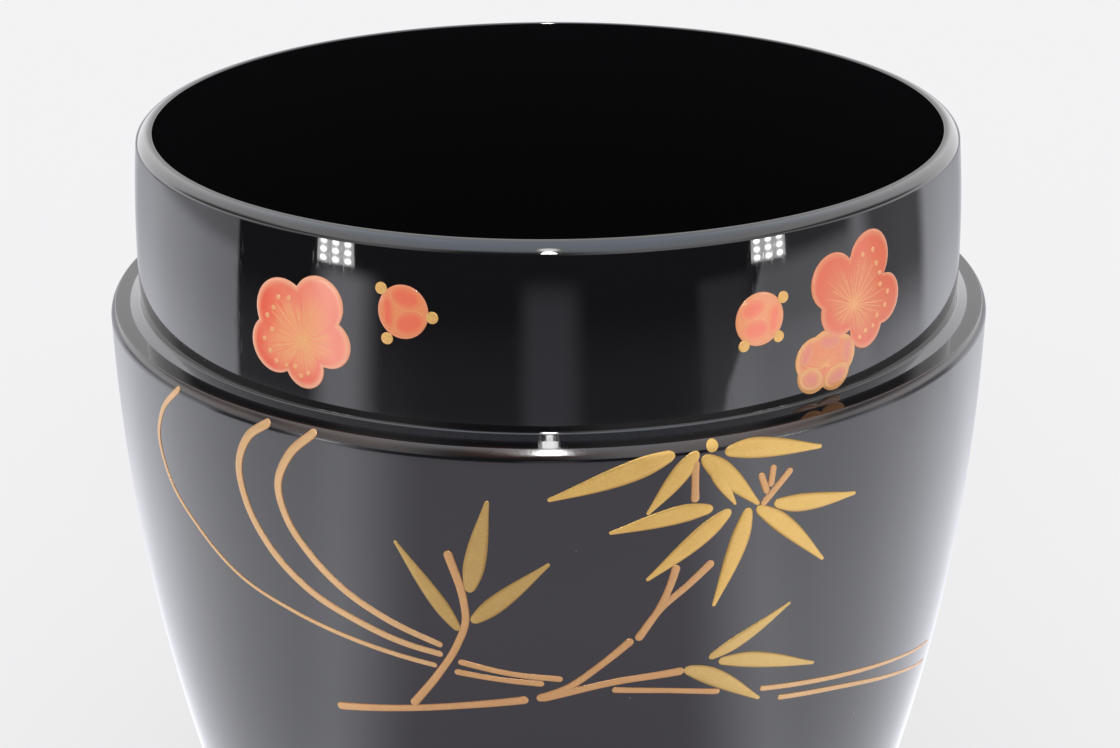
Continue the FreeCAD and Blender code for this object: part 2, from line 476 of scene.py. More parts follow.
def onVessel(angle, height, lift):
    # a point on the side, its roll or the collar at a bearing and a height, raised along the normal
    v = vessel
    below = v["ledgeHeight"] - height
    side = np.sqrt(v["sideArc"] ** 2 - below ** 2)
    rise = np.clip(height - rollCentre[1], 0, edgeRoll[1] - rollCentre[1])
    roll = np.sqrt(v["rollRadius"] ** 2 - rise ** 2)
    up = np.clip(height - landTop, 0, None)
    collar = np.sqrt(collarArc ** 2 - up ** 2)
    where = [height > v["ledgeHeight"] + 0.2, height > rollStart[1]]
    radius = np.select(where, [collarCentre[0] + collar, rollCentre[0] + roll], sideCentre[0] + side)
    slope = np.select(where, [-up / collar, -rise / roll], below / side)
    length = np.sqrt(1 + slope ** 2)
    r = radius + lift / length
    z = height - lift * slope / length
    return np.stack([r * np.sin(angle), -r * np.cos(angle), z], -1) * mm


# Lid, in millimetres

lidLow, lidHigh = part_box("lid")
lid = {
    "middle": (lidLow.y + lidHigh.y) / 2 / mm,  # its axis, behind the vessel
    "radius": lidHigh.x / mm,
    "height": lidHigh.z / mm,
    "sideArc": 130.0,
    "shoulder": 10.0,
    "crown": 130.0,
    "ceiling": 2.8,
    "innerShoulder": 5.0,
    "rimArris": 0.5,
    "clearance": 0.15,
    "relief": 0.7,
    "around": 256,
    "arris": (-0.2, -0.1, 0.15, 0.4, 32.2),
    "rubbed": (1.0, 4.0),
    "paintedSheen": (1.0, 1.1, 1.2, -5.0),  # none
}
lidWallCentre = (lid["radius"] - lid["sideArc"], 0)
crownCentre = (0, lid["height"] - lid["crown"])
shoulderCentre, shoulderWall, shoulderCrown = shoulderRound(
    lidWallCentre, lid["sideArc"], crownCentre, lid["crown"], lid["shoulder"])


def lidProfile():
    # from the middle of the crown down the outside, round the rim, and up inside to the ceiling
    d = lid
    bore = collarRadius + d["clearance"]
    ceilingArc = d["crown"] - d["ceiling"]
    rimCentre, rimSide, rimFlat = cornerOnPlane(lidWallCentre, d["sideArc"], d["rimArris"], 0, 1)
    inset = bore - d["innerShoulder"]
    innerRise = math.sqrt((ceilingArc - d["innerShoulder"]) ** 2 - inset ** 2)
    innerCentre = (inset, crownCentre[1] + innerRise)
    innerWall = (bore, innerCentre[1])
    innerCeiling = outAlong(crownCentre, innerCentre, ceilingArc)
    reliefTop = (bore, d["relief"])
    reliefRim = (bore + d["relief"], 0)
    return joined([
        arcRun(crownCentre, d["crown"], (0, d["height"]), shoulderCrown, 36),
        arcRun(shoulderCentre, d["shoulder"], shoulderCrown, shoulderWall, 30),
        arcRun(lidWallCentre, d["sideArc"], shoulderWall, rimSide, 24),
        arcRun(rimCentre, d["rimArris"], rimSide, rimFlat, 14),
        lineRun(rimFlat, reliefRim, 7),
        lineRun(reliefRim, reliefTop, 9),
        lineRun(reliefTop, innerWall, 20),
        arcRun(innerCentre, d["innerShoulder"], innerWall, innerCeiling, 20),
        arcRun(crownCentre, ceilingArc, innerCeiling, (0, d["height"] - d["ceiling"]), 24),
    ])


blackLid = lacquerMaterial("blackLacquerLid", lid["middle"], lid)
lidShell = turnedShell(lidProfile(), lid["middle"], lid["around"])
lidPiece = skinPiece("lid_cap", [lidShell], "lid", blackLid)
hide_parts("lid")
print("lid turned")


# Brush work: lines and leaves are ribbons, flowers are domed discs, all laid on a turned surface.

brush = {
    "reach": 33.0,  # radius at which a bearing is measured as a length, mm
    "sink": 0.05,  # how far a painted edge goes under the lacquer, mm
    "section": 16,
    "lift": 0.06,  # how far a stroke stands up, mm
    "thin": 0.05,
}


def lengthAlong(path):
    # the length of a path up to each of its points
    return np.concatenate([[0], np.cumsum(np.hypot(*np.diff(path, axis=0).T))])


def smoothPath(points, count):
    # a curve through the points: on each run a cubic that keeps the slope of the neighbouring points
    p = np.array(points, float)
    p[:, 0] = np.radians(p[:, 0]) * brush["reach"]
    knots = lengthAlong(p)
    if len(p) > 2:
        slopes = np.gradient(p, knots, axis=0)
    else:
        slopes = np.repeat((p[1:] - p[:1]) / knots[1], 2, 0)
    t = np.linspace(0, knots[-1], count)
    i = np.clip(np.searchsorted(knots, t, side="right") - 1, 0, len(p) - 2)
    run = (knots[i + 1] - knots[i])[:, None]
    u = ((t - knots[i]) / run[:, 0])[:, None]
    start = (1 + 2 * u) * (1 - u) ** 2 * p[i] + u * (1 - u) ** 2 * run * slopes[i]
    end = u ** 2 * (3 - 2 * u) * p[i + 1] + u ** 2 * (u - 1) * run * slopes[i + 1]
    return start + end, t / knots[-1]


def ribbonShell(path, half, lift, surface):
    # a flat rounded section carried along the path: it reaches half to each side of the path, rises by
    # lift in its middle, and its underside lies below the lacquer; the end points are the poles
    step = np.gradient(path, axis=0)
    step /= np.linalg.norm(step, axis=1, keepdims=True)
    q = np.linspace(0, 2 * np.pi, brush["section"], endpoint=False)
    across = np.sign(np.cos(q)) * np.abs(np.cos(q)) ** 0.8
    top = np.clip(np.sin(q), 0, None) ** 0.75
    under = np.clip(-np.sin(q), 0, None)
    s = path[:, :1] - step[:, 1:] * half[:, None] * across
    z = path[:, 1:] + step[:, :1] * half[:, None] * across
    height = lift * (half / half.max())[:, None] ** 0.5 * top - brush["sink"] * under
    skin = surface(s / brush["reach"], z, height)
    along = np.linspace(0, 1, len(path))
    tags = np.stack(np.broadcast_arrays(along[:, None], across, top), 2)
    return {
        "first": skin[:1].mean(1),
        "rings": skin[1:-1],
        "last": skin[-1:].mean(1),
        "tags": np.vstack([tags[:1, 0], tags[1:-1].reshape(-1, 3), tags[-1:, 0]]),
    }


def roundedEnds(path, half):
    # narrows a ribbon to a half circle over its last half width at each end
    gone = lengthAlong(path)
    near = np.minimum(gone, gone[-1] - gone)
    share = np.clip(near / np.maximum(half, 1e-6), 0, 1)
    return half * np.sqrt(np.clip(1 - (1 - share) ** 2, 0, 1))


def finerEnds(path, half):
    # resamples a path so that its rounded ends have enough points
    gone = lengthAlong(path)
    cap = min(0.25, 1.2 * half.max() / gone[-1])
    body = np.linspace(cap, 1 - cap, len(path))
    tip = cap * (1 - np.cos(np.linspace(0, np.pi / 2, 9)))[:-1]
    share = np.concatenate([tip, body, 1 - tip[::-1]]) * gone[-1]
    bent = np.stack([np.interp(share, gone, path[:, k]) for k in range(2)], 1)
    return bent, np.interp(share, gone, half)


def brushLine(points, widths, surface, lift=brush["lift"]):
    # a stroke of given widths (mm) at its points, with round ends
    path, share = smoothPath(points, max(24, 10 * len(points)))
    half = np.interp(share, np.linspace(0, 1, len(widths)), widths) / 2
    path, half = finerEnds(path, half)
    return ribbonShell(path, roundedEnds(path, half), lift, surface)


leafShape = {"base": 0.42, "tip": 0.2, "fullAt": 0.31, "taper": 1.25, "lift": 0.07}


def leafBlade(base, tip, width, skew, surface):
    # a blade from base to tip: it swells by a sine to its full width and narrows by a power of a cosine
    # to its tip; skew moves it sideways by a share of its half width, so one edge is fuller
    shape = leafShape
    p, t = smoothPath([base, tip], 48)
    swell = shape["base"] + (1 - shape["base"]) * np.sin(np.pi / 2 * np.clip(t / shape["fullAt"], 0, 1))
    late = np.clip((t - shape["fullAt"]) / (1 - shape["fullAt"]), 0, 1)
    draw = shape["tip"] + (1 - shape["tip"]) * np.cos(np.pi / 2 * late) ** shape["taper"]
    half = np.where(t < shape["fullAt"], swell, draw) * width / 2
    along = (p[-1] - p[0]) / np.linalg.norm(p[-1] - p[0])
    aside = np.array([-along[1], along[0]])
    p = p + aside * (skew * (half - half[0] + (half[0] - half[-1]) * t))[:, None]
    p, half = finerEnds(p, half)
    return ribbonShell(p, roundedEnds(p, half), shape["lift"], surface)


def discShell(centre, outline, lift, surface, reach, rings=26):
    # a low dome over an outline given as distance by direction: level rings from the middle to the rim,
    # then the edge rounds off, goes under the lacquer and back to the middle
    phi = np.linspace(0, 2 * np.pi, len(outline), endpoint=False)
    rho = 1 - (1 - np.linspace(0, 1, rings + 1)[1:]) ** 1.3
    edge = np.sqrt(np.clip(1 - np.clip((rho - 0.95) / 0.05, 0, 1) ** 2, 0, 1))
    height = lift * (0.85 + 0.15 * np.cos(np.pi / 2 * rho)) * edge
    rho = np.concatenate([rho, [0.97, 0.5]])
    height = np.concatenate([height, [-brush["sink"], -brush["sink"]]])
    dx = rho[:, None] * outline * np.cos(phi)
    dz = rho[:, None] * outline * np.sin(phi)
    skin = surface(math.radians(centre[0]) + dx / reach, centre[1] + dz, height[:, None] + 0 * dx)
    ends = surface(np.full(2, math.radians(centre[0])), np.full(2, float(centre[1])),
                   np.array([lift, -brush["sink"]]))
    tags = np.stack([dx, dz, rho[:, None] + 0 * dx], 2).reshape(-1, 3)
    return {
        "first": ends[:1],
        "rings": skin,
        "last": ends[1:],
        "tags": np.vstack([np.zeros((1, 3)), tags, np.zeros((1, 3))]),
    }


def lobedOutline(petals, count):
    # distance to the far side of the furthest petal circle in each direction
    phi = np.linspace(0, 2 * np.pi, count, endpoint=False)[None]
    x, z, radius = np.array(petals, float).T[:, :, None]
    ahead = x * np.cos(phi) + z * np.sin(phi)
    inside = radius ** 2 - x ** 2 - z ** 2 + ahead ** 2
    return np.where(inside > 0, ahead + np.sqrt(np.clip(inside, 0, None)), 0).max(0)


def ovalOutline(wide, high, lean, count):
    # an ellipse of given half axes, turned by lean degrees
    phi = np.linspace(0, 2 * np.pi, count, endpoint=False) - math.radians(lean)
    return 1 / np.sqrt((np.cos(phi) / wide) ** 2 + (np.sin(phi) / high) ** 2)


def placed(centre, offset, reach):
    # bearing and height of a point that is offset (mm) from a flower's middle
    return (centre[0] + math.degrees(offset[0] / reach), centre[1] + offset[1])


# Gold on the body of the vessel: bearings in degrees from the front, heights in mm

bamboo = {
    "stemWidths": [0.649, 0.5428, 0.5428, 0.649],
    "strokeWidths": [0.48, 0.42, 0.48],
    "twigWidths": [0.53, 0.53],
    "sprigLeaves": [
        ((-10.7, 32.65), (-18.0, 38.94), 1.12, 0.0), ((-9.4, 35.63), (-7.0, 42.44), 1.47, 0.0),
        ((-9.2, 33.37), (-0.1, 37.95), 1.31, 0.0)],
    "upperLeaves": [
        ((14.0, 45.33), (-0.3, 42.54), 1.52, 0.0), ((16.7, 45.33), (10.9, 41.20), 1.3, 0.0),
        ((17.2, 44.91), (24.5, 40.79), 1.52, 0.2), ((18.3, 44.20), (21.5, 41.10), 0.95, 0.0),
        ((19.9, 45.01), (32.8, 43.94), 1.47, 0.5), ((26.5, 40.64), (38.7, 39.58), 1.33, -0.3),
        ((24.2, 40.59), (34.3, 35.28), 1.33, 0.5), ((18.7, 41.10), (6.6, 40.06), 1.33, -0.5),
        ((20.9, 40.79), (11.0, 36.35), 1.38, 0.0), ((23.2, 40.69), (19.3, 33.70), 1.42, 0.3)],
    "lowerLeaves": [
        ((19.2, 29.65), (29.9, 32.65), 1.05, -0.3), ((20.5, 29.24), (34.8, 26.91), 1.26, 0.7),
        ((16.1, 29.07), (26.8, 25.33), 1.37, 0.6)],
    "stems": [
        [(-17.1, 26.20), (-13.7, 28.86), (-11.0, 31.52), (-9.9, 33.42), (-10.1, 35.12), (-11.8, 38.62)],
        [(-27.6, 24.81), (-18.4, 25.79), (-10.1, 26.70), (-2.7, 27.41)],
        [(-1.7, 27.46), (1.6, 28.23), (5.7, 29.98), (9.6, 31.93)],
        [(10.1, 31.83), (12.8, 34.30), (13.9, 35.84), (14.6, 37.29)],
        [(10.1, 31.83), (13.0, 34.20), (16.0, 35.64), (19.0, 37.19)],
        [(-1.3, 27.51), (7.5, 28.64), (16.1, 28.97)],
        [(16.4, 44.71), (16.5, 41.72)]],
    "strokes": [
        [(-11.0, 30.19), (-4.8, 29.46), (1.4, 29.05)], [(-11.5, 29.37), (-5.8, 28.95), (-0.8, 28.69)],
        [(7.3, 28.03), (14.0, 27.53), (21.0, 26.73)]],
    "twigs": [
        [(24.8, 40.66), (28.7, 42.91)], [(24.5, 43.06), (25.5, 41.5)], [(26.2, 43.47), (25.9, 41.9)]],
    "bud": (18.4, 45.55, 0.42),
}
stream = {
    "long": [
        [(-49.7, 45.65), (-54.4, 43.03), (-55.9, 40.99), (-54.6, 38.46), (-47.9, 35.20), (-41.4, 33.14),
         (-32.9, 31.78), (-25.3, 30.84), (-18.2, 30.10), (-13.6, 29.68)]],
    "longWidths": [0.48, 0.43, 0.34, 0.29, 0.31, 0.37, 0.4],
    "broad": [
        [(-33.8, 45.72), (-37.2, 44.24), (-39.1, 41.83), (-38.4, 39.27), (-35.2, 36.30), (-29.8, 33.82),
         (-23.5, 32.27), (-18.1, 31.23), (-12.8, 30.60)],
        [(-27.4, 45.82), (-31.1, 43.79), (-33.1, 41.21), (-32.1, 38.85), (-29.3, 36.69), (-25.2, 34.63),
         (-19.7, 32.87), (-12.8, 31.32)]],
    "broadWidths": [0.63, 0.65, 0.63, 0.58, 0.53, 0.46],
    "far": [[(26.7, 26.15), (38.8, 24.90), (49.0, 23.65), (66.7, 20.99)],
            [(29.6, 24.94), (39.3, 23.88), (51.5, 21.98), (67.6, 19.04)]],
    "farWidths": [0.44, 0.4, 0.29, 0.23],
}
leafGold = goldMaterial(
    "leafGold", (0.63, 0.385, 0.092), (0.71, 0.455, 0.13), (0.36, 0.2, 0.04), 0.3, 0.42)
sprigGold = goldMaterial(
    "sprigGold", (0.45, 0.28, 0.075), (0.52, 0.335, 0.105), (0.27, 0.15, 0.033), 0.3, 0.42)
lowerGold = goldMaterial(
    "lowerGold", (0.54, 0.345, 0.098), (0.62, 0.415, 0.145), (0.31, 0.18, 0.043), 0.3, 0.42)
stemGold = goldMaterial(
    "stemGold", (0.54, 0.285, 0.108), (0.62, 0.345, 0.148), (0.3, 0.125, 0.043), 0.3, 0.4)
lineGold = goldMaterial(
    "lineGold", (0.56, 0.33, 0.142), (0.66, 0.405, 0.192), (0.33, 0.155, 0.057), 0.3, 0.4)


def brushLines(group, widths, lift=brush["lift"]):
    return [brushLine(points, widths, onVessel, lift) for points in group]


def paintBamboo():
    for part, gold in (("sprig", sprigGold), ("upper", leafGold), ("lower", lowerGold)):
        blades = [leafBlade(*blade, onVessel) for blade in bamboo[part + "Leaves"]]
        if part == "upper":
            *spot, size = bamboo["bud"]
            rim = np.full(32, size)
            blades.append(discShell(spot, rim, brush["lift"], onVessel, brush["reach"], 10))
        goldPiece("bamboo_" + part + "_leaves", blades, gold)
    stems = brushLines(bamboo["stems"], bamboo["stemWidths"])
    stems += brushLines(bamboo["strokes"], bamboo["strokeWidths"], brush["thin"])
    goldPiece("bamboo_stems", stems, stemGold)
    twigs = brushLines(bamboo["twigs"], bamboo["twigWidths"])
    goldPiece("bamboo_twigs", twigs, stemGold)


def paintStream():
    lines = brushLines(stream["long"], stream["longWidths"], brush["thin"])
    lines += brushLines(stream["broad"], stream["broadWidths"])
    lines += brushLines(stream["far"], stream["farWidths"], brush["thin"])
    goldPiece("stream_lines", lines, lineGold)


paintBamboo()
paintStream()
print("bamboo and stream painted")


# Plum flowers on the collar: petal circles as (across, up, radius) in mm from the flower's middle

plum = {
    "reach": 30.8,
    "lift": 0.065,
    "blossoms": {
        "left": {
            "centre": (-31.2, 50.90),
            "petals": [(-1.71, 1.75, 2.31), (1.16, 2.78, 1.92), (1.87, 0.21, 1.71), (-0.06, -1.71, 1.56),
                       (-2.57, -0.69, 1.96)],
            "dots": (112, 285)},
        "right": {
            "centre": (40.9, 52.22),
            "petals": [(1.64, 2.71, 2.04), (-1.89, 1.97, 1.96), (-1.15, -0.13, 1.84), (1.39, -1.8, 1.66),
                       (3.25, -0.41, 1.76)],
            "dots": (-75, 80)},
    },
    "coat": 0.9,  # share of the lift at which the next coat starts
    "stamens": {  # each starts off the middle and ends at an uneven share of the way to the rim
        "count": 60, "sway": 0.09, "start": 0.12, "reach": (0.58, 0.1), "widths": [0.06, 0.05, 0.03],
        "lift": 0.01},
    "anthers": {"step": 15, "reach": (0.7, 0.05), "size": 0.18, "eye": 0.26, "lift": 0.03},
    "budDot": {"size": 0.41, "lift": 0.07},
    "budCoreLift": 0.012,
    "buds": {  # cores are (across, up, half width, half height, lean) of the three petals that show
        "left": {
            "centre": (-17.6, 54.03), "size": (1.72, 1.8, 0),
            "cores": [
                (-1.0, -0.1, 0.45, 1.1, 4), (0.2, 0.95, 1.1, 0.76, -14), (0.46, -0.7, 1.1, 0.82, 20)],
            "dots": [(-1.49, 1.42), (1.96, -0.21), (-1.11, -1.88)]},
        "right": {
            "centre": (26.2, 52.8), "size": (1.8, 1.82, 0),
            "cores": [
                (-0.53, 0.74, 1.0, 0.7, 20), (1.04, -0.1, 0.5, 1.1, -8), (-0.29, -0.68, 1.02, 0.76, 4)],
            "dots": [(1.76, 1.19), (-1.16, -1.66), (1.44, -1.42)]},
    },
    "halfOpen": {
        "centre": (36.3, 48.8), "focus": (-0.1, -0.53),
        "petals": [(0.1, 0.37, 1.84), (-1.05, 0.37, 1.53), (1.27, 0.1, 1.5), (-1.0, -0.74, 1.37),
                   (0.9, -0.9, 1.39)],
        "cores": [
            (0.32, 1.27, 0.95, 0.52, -8), (-1.69, 0.79, 0.46, 0.84, -22), (1.95, 0.32, 0.46, 0.84, -10)],
        "front": [(-1.27, -1.0, 1.05, 0.82, -22), (1.03, -1.27, 1.18, 0.8, 20)],
        "frontCore": (0.68, 0.62),  # shares of the front petal's width and height
        "lift": 0.8, "coat": 0.72, "lineCoat": 0.75,  # shares of the other flowers' lift
        "coreLift": 0.01, "frontLift": 0.05, "frontCoat": 0.045,
        "lines": {"turns": (8, 176, 12), "start": 0.15, "reach": (1.4, 0.2), "widths": [0.09, 0.05],
                  "lift": 0.015}},
}
# the left blossom's glow is a painted reflection on its upper right petals
coralLeft = petalMaterial(
    "coralLeft", heart=(0.96, 0.45, 0.165), inner=(0.95, 0.31, 0.175), outer=(0.9, 0.15, 0.09),
    rim=(0.94, 0.42, 0.25), hair=(0.95, 0.4, 0.185), glow=((0.96, 0.34, 0.245), 25, 0.65))
coralRight = petalMaterial(
    "coralRight", heart=(0.76, 0.3, 0.092), inner=(0.81, 0.205, 0.1), outer=(0.82, 0.165, 0.082),
    rim=(0.84, 0.3, 0.15), hair=(0.81, 0.255, 0.105))
budBase = petalMaterial(
    "budBase", heart=(0.84, 0.3, 0.13), inner=(0.84, 0.29, 0.12), outer=(0.83, 0.29, 0.13),
    hair=(0.84, 0.3, 0.13), rim=(0.82, 0.29, 0.14), rimIn=0.3)
budCore = petalMaterial(
    "budCore", heart=(0.85, 0.16, 0.1), inner=(0.85, 0.17, 0.1), outer=(0.85, 0.19, 0.11),
    hair=(0.85, 0.2, 0.11), rim=(0.84, 0.27, 0.12), rimIn=0.5, rimOut=0.03)
# the right bud's base and cores are lighter than the left's: painted reflection, standing in for light
# the bud mirrors
budBaseRightPaintedSheen = petalMaterial(
    "budBaseRightPaintedSheen", heart=(0.95, 0.39, 0.175), inner=(0.94, 0.36, 0.165), outer=(0.9, 0.35, 0.165),
    hair=(0.94, 0.38, 0.17), rim=(0.86, 0.35, 0.16), rimIn=0.3)
budCoreRightPaintedSheen = petalMaterial(
    "budCoreRightPaintedSheen", heart=(0.95, 0.22, 0.15), inner=(0.95, 0.23, 0.15), outer=(0.95, 0.25, 0.15),
    hair=(0.95, 0.26, 0.15), rim=(0.94, 0.34, 0.165), rimIn=0.5, rimOut=0.03)
paleBloom = petalMaterial(
    "paleBloom", heart=(0.82, 0.225, 0.097), inner=(0.85, 0.24, 0.112), outer=(0.88, 0.3, 0.142),
    hair=(0.86, 0.3, 0.13), rim=(0.85, 0.42, 0.165))
paleCore = petalMaterial(
    "paleCore", heart=(0.8, 0.23, 0.17), inner=(0.8, 0.24, 0.17), outer=(0.8, 0.26, 0.17),
    hair=(0.81, 0.27, 0.17), rim=(0.82, 0.32, 0.15), rimIn=0.4, rimOut=0.03)
stamenGold = goldMaterial(
    "stamenGold", (0.88, 0.39, 0.15), (0.9, 0.44, 0.18), (0.86, 0.33, 0.13), 0.05, 0.3)
dotGold = goldMaterial(
    "dotGold", (0.66, 0.36, 0.095), (0.8, 0.48, 0.16), (0.44, 0.21, 0.05), 0.25, 0.4)


def raised(base):
    # the vessel's surface, with a coat of paint already on it
    return lambda angle, height, lift: onVessel(angle, height, lift + base)


def heading(turn):
    return np.array([math.cos(turn), math.sin(turn)])


def stamenShells(flower, outline, wobble):
    # fine lines from the middle at even turns, of uneven length, and dots in an arc beyond their ends
    reach, line, dot = plum["reach"], plum["stamens"], plum["anthers"]
    coat = raised(plum["lift"] * plum["coat"])
    centre = flower["centre"]
    order = np.arange(line["count"])
    turns = order * 2 * np.pi / line["count"] + line["sway"] * np.sin(order * 2.4 + wobble)
    around = np.linspace(0, 2 * np.pi, len(outline) + 1)
    far = np.interp(turns % (2 * np.pi), around, np.append(outline, outline[0]))
    share, more = line["reach"]
    shells = []
    for turn, length in zip(turns, far * (share + more * np.sin(order * 4.1 + wobble))):
        start = placed(centre, heading(turn) * line["start"], reach)
        end = placed(centre, heading(turn) * length, reach)
        shells.append(brushLine([start, end], line["widths"], coat, line["lift"]))
    low, high = flower["dots"]
    share, more = dot["reach"]
    for k, turn in enumerate(np.radians(np.arange(low, high, dot["step"]))):
        length = np.interp(turn % (2 * np.pi), np.linspace(0, 2 * np.pi, len(outline)), outline)
        length *= share + more * math.sin(k * 2.7 + wobble)
        spot = placed(centre, heading(turn) * length, reach)
        shells.append(discShell(spot, np.full(14, dot["size"]), dot["lift"], coat, reach, 5))
    shells.append(discShell(centre, np.full(20, dot["eye"]), dot["lift"], coat, reach, 6))
    return shells


def patches(flower, spots, base, lift):
    # low ovals on a flower that is already painted
    shells = []
    for x, z, *oval in spots:
        spot = placed(flower["centre"], (x, z), plum["reach"])
        shells.append(discShell(spot, ovalOutline(*oval, 60), lift, raised(base), plum["reach"], 14))
    return shells


def paintBlossoms():
    stamens = []
    for k, (side, flower) in enumerate(plum["blossoms"].items()):
        outline = lobedOutline(flower["petals"], 220)
        shell = discShell(flower["centre"], outline, plum["lift"], onVessel, plum["reach"])
        paint = coralLeft if side == "left" else coralRight
        coralPiece("plum_blossom_" + side, [shell], paint)
        stamens += stamenShells(flower, outline, k * 1.7)
    goldPiece("plum_stamens", stamens, stamenGold)


def paintBuds():
    reach, lift, dot = plum["reach"], plum["lift"], plum["budDot"]
    dots = []
    for side, bud in plum["buds"].items():
        shell = discShell(bud["centre"], ovalOutline(*bud["size"], 120), lift, onVessel, reach)
        base, core = (budBase, budCore) if side == "left" else (budBaseRightPaintedSheen, budCoreRightPaintedSheen)
        coralPiece("plum_bud_" + side, [shell], base)
        cores = patches(bud, bud["cores"], lift * plum["coat"], plum["budCoreLift"])
        coralPiece("plum_bud_cores_" + side, cores, core)
        for offset in bud["dots"]:
            spot = placed(bud["centre"], offset, reach)
            dots.append(discShell(spot, np.full(32, dot["size"]), dot["lift"], onVessel, reach, 10))
    goldPiece("plum_bud_dots", dots, dotGold)


def paintHalfOpen():
    reach, lift, half = plum["reach"], plum["lift"], plum["halfOpen"]
    coat = lift * half["coat"]
    outline = lobedOutline(half["petals"], 160)
    shell = discShell(half["centre"], outline, lift * half["lift"], onVessel, reach)
    coralPiece("plum_half_open", [shell], paleBloom)
    cores = patches(half, half["cores"], coat, half["coreLift"])
    coralPiece("plum_half_open_cores", cores, paleCore)
    front = patches(half, half["front"], coat, half["frontLift"])
    coralPiece("plum_half_open_front", front, paleBloom)
    wider, higher = half["frontCore"]
    inner = [(x, z, wide * wider, high * higher, lean) for x, z, wide, high, lean in half["front"]]
    cores = patches(half, inner, coat + half["frontCoat"], half["coreLift"])
    coralPiece("plum_half_open_front_cores", cores, paleCore)
    line = half["lines"]
    share, more = line["reach"]
    lines = []
    for k, turn in enumerate(np.radians(np.arange(*line["turns"]))):
        ends = []
        for far in (line["start"], share + more * math.sin(k * 2.1)):
            ends.append(placed(half["centre"], heading(turn) * far + half["focus"], reach))
        lines.append(brushLine(ends, line["widths"], raised(lift * half["lineCoat"]), line["lift"]))
    goldPiece("plum_half_open_lines", lines, stamenGold)


paintBlossoms()
paintBuds()
paintHalfOpen()
print("plum flowers painted")


# Studio: lengths on the floor in m, angles in degrees from the front

studio = {
    "floorColour": (0.9, 0.9, 0.905),
    "floorReach": 3.0,
    "background": 0.905,
    "backgroundTint": (0.99, 0.99, 1.0),
    "backgroundShare": 0.75,  # of the floor that the camera sees evenly lit; the rest keeps the shadow
    "lightTint": (0.985, 0.98, 1.0),
    "frontTint": (0.99, 0.94, 1.09),
    "sideTint": (0.975, 0.985, 1.06),
    "dark": 0.015,
    # brightness of the sheet round the caddy, as the lacquer mirrors it: in front, then what is added
    # between two bearings and between two distances; the last fall, behind the caddy, is painted shadow
    "front": 0.93,
    "round": [(26, 48, 1.27), (46, 58, -0.37), (70, 88, 0.08), (100, 130, -0.42), (122, 148, -0.7)],
    "foot": 0.8,  # share of it close to the foot: painted shadow of the caddy, which the first step below lifts away
    "out": [(0.035, 0.08, 0.2), (0.12, 0.2, -0.12)],
    "dimmer": [  # bearings, and distances between which the sheet loses that much
        (-134, -126, -72, -64, 0.25, 0.29, -0.7), (84, 92, 110, 117, 0.1, 0.21, -1.2),
        (50, 56, 80, 86, 0.18, 0.21, -0.35), (50, 56, 80, 86, 0.27, 0.34, -1.0)],
    "fall": [(0.127, 0.142, 0.88), (0.142, 0.26, 0.12)],  # shares by which it ends in front
    # the dark opening in front lies within two lines y = slope * x + start on the floor
    "openings": [(0.06, -0.006), (-0.5, -0.055)],
    "openEdge": (-0.004, 0.002),
    "bands": [  # light bands in the opening: bearings, strength, and distances where it fades
        (-62, -54, -50, -40, 1.9, 0.27, 0.33), (-9, -3, 3, 10, 0.4, 0.25, 0.37),
        (35, 39, 47, 55, 0.27, 0.27, 0.32)],
    "aside": (0.46, 0.56, 1.3),  # floor beyond the opening: distances, and how bright it gets
    # the surroundings, as the lacquer mirrors them
    "ahead": (-42, -18, -4, 22),  # bearings of the dark front
    "aheadDark": 0.09,
    "walls": (1.2, 1.6),  # left and right
    "wallsMeet": (-30, 30),
    "ceiling": 2.15,
    "ceilingFrom": (25, 76),
    "ceilingTint": (0.9, 1.0, 1.17),
    "tinted": ((12, 35), (30, 76, 118, 150)),  # angles sideways, and up from the front and over
    "back": ((158, 170), (92, 165, 0.5)),  # where the light falls off: bearings, and angles over
    "above": 0.3,  # beside the ceiling, over the walls
    "aboveFrom": ((46, 56), (0.26, 0.38)),  # angles sideways, and how steeply up
}


def lightPaths(tree):
    paths = added(tree, "LightPath")
    return paths["Is Camera Ray"], paths["Is Glossy Ray"]


def bearingOf(tree, x, y):
    # degrees from the front, positive to the right
    turn = calc(tree, "ARCTAN2", x, times(tree, y, -1.0))
    return times(tree, turn, 180 / math.pi)


def stepped(tree, value, total, steps):
    # a total, and what each smooth step of the value adds to it
    for low, high, gain in steps:
        total = calc(tree, "ADD", ease(tree, value, low, high, gain), total)
    return total


